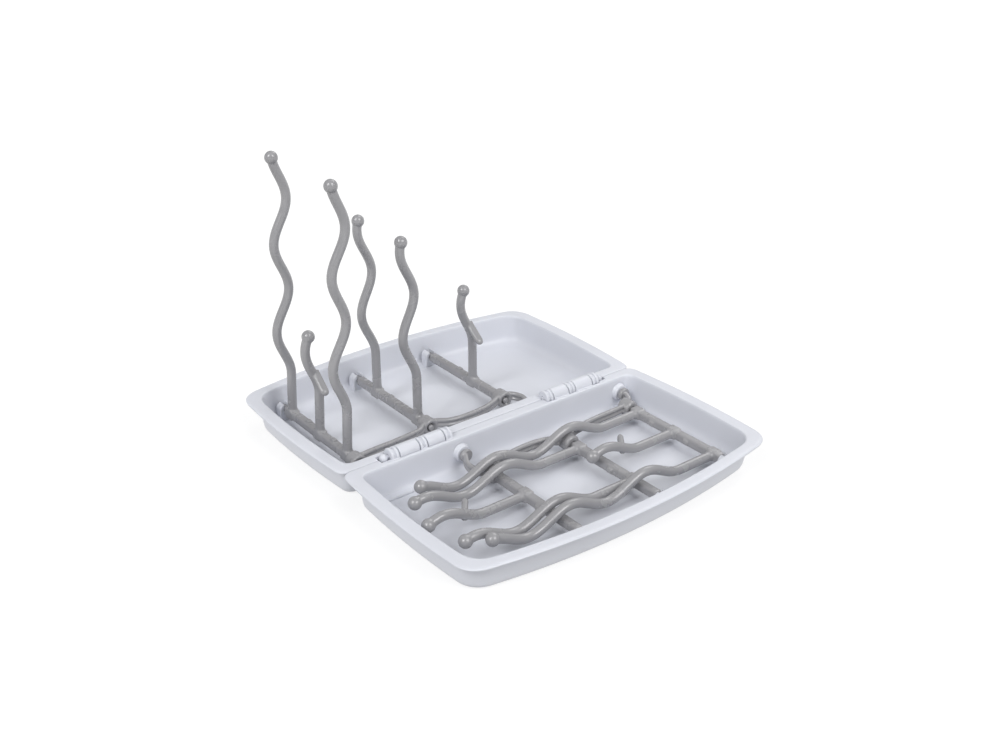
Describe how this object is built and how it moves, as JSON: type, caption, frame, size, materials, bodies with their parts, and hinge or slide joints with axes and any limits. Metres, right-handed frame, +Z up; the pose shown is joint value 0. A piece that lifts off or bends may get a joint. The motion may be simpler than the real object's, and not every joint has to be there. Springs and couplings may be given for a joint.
{
  "type": "bottle drying rack",
  "caption": "Folding travel drying rack for baby bottles: two hinged shallow trays with fold-down grey pronged combs.",
  "frame": {"origin": "middle of the hinge line, on the surface that the open trays rest on", "axes": "+X along the hinge, +Y from the hinge towards the long outer edge of the tray whose combs stand up, +Z up"},
  "size_m": [0.267, 0.308, 0.2105],
  "materials": {
    "white_plastic": "satin-gloss moulded, cool white",
    "grey_plastic": "satin moulded, neutral mid grey"
  },
  "bodies": {
    "back_half": {"back_tray": "white_plastic", "back_rail": "grey_plastic", "left_hinge_pin": "white_plastic", "right_hinge_pin": "white_plastic"},
    "front_half": {"front_tray": "white_plastic", "front_rail": "grey_plastic"},
    "back_long_comb": {"back_long_comb": "grey_plastic"},
    "back_middle_comb": {"back_middle_comb": "grey_plastic"},
    "back_short_comb": {"back_short_comb": "grey_plastic"},
    "front_long_comb": {"front_long_comb": "grey_plastic"},
    "front_middle_comb": {"front_middle_comb": "grey_plastic"},
    "front_short_comb": {"front_short_comb": "grey_plastic"}
  },
  "joints": [
    {"name": "tray_fold", "type": "hinge", "parent": "back_half", "child": "front_half", "pos_m": [0, 0, 0.025], "axis": [-1, 0, 0], "range_deg": [0, 100]},
    {"name": "back_long_comb_fold", "type": "hinge", "parent": "back_half", "child": "back_long_comb", "pos_m": [-0.101, 0.082, 0.0108], "axis": [0, 1, 0], "range_deg": [-3, 87]},
    {"name": "back_middle_comb_fold", "type": "hinge", "parent": "back_half", "child": "back_middle_comb", "pos_m": [-0.0325, 0.082, 0.0108], "axis": [0, 1, 0], "range_deg": [0, 90]},
    {"name": "back_short_comb_fold", "type": "hinge", "parent": "back_half", "child": "back_short_comb", "pos_m": [0.036, 0.082, 0.0108], "axis": [0, 1, 0], "range_deg": [0, 90]},
    {"name": "front_long_comb_fold", "type": "hinge", "parent": "front_half", "child": "front_long_comb", "pos_m": [0.101, -0.082, 0.0108], "axis": [0, 1, 0], "range_deg": [0, 90]},
    {"name": "front_middle_comb_fold", "type": "hinge", "parent": "front_half", "child": "front_middle_comb", "pos_m": [0.0325, -0.082, 0.0108], "axis": [0, 1, 0], "range_deg": [0, 90]},
    {"name": "front_short_comb_fold", "type": "hinge", "parent": "front_half", "child": "front_short_comb", "pos_m": [-0.036, -0.082, 0.0108], "axis": [0, 1, 0], "range_deg": [0, 90]}
  ]
}
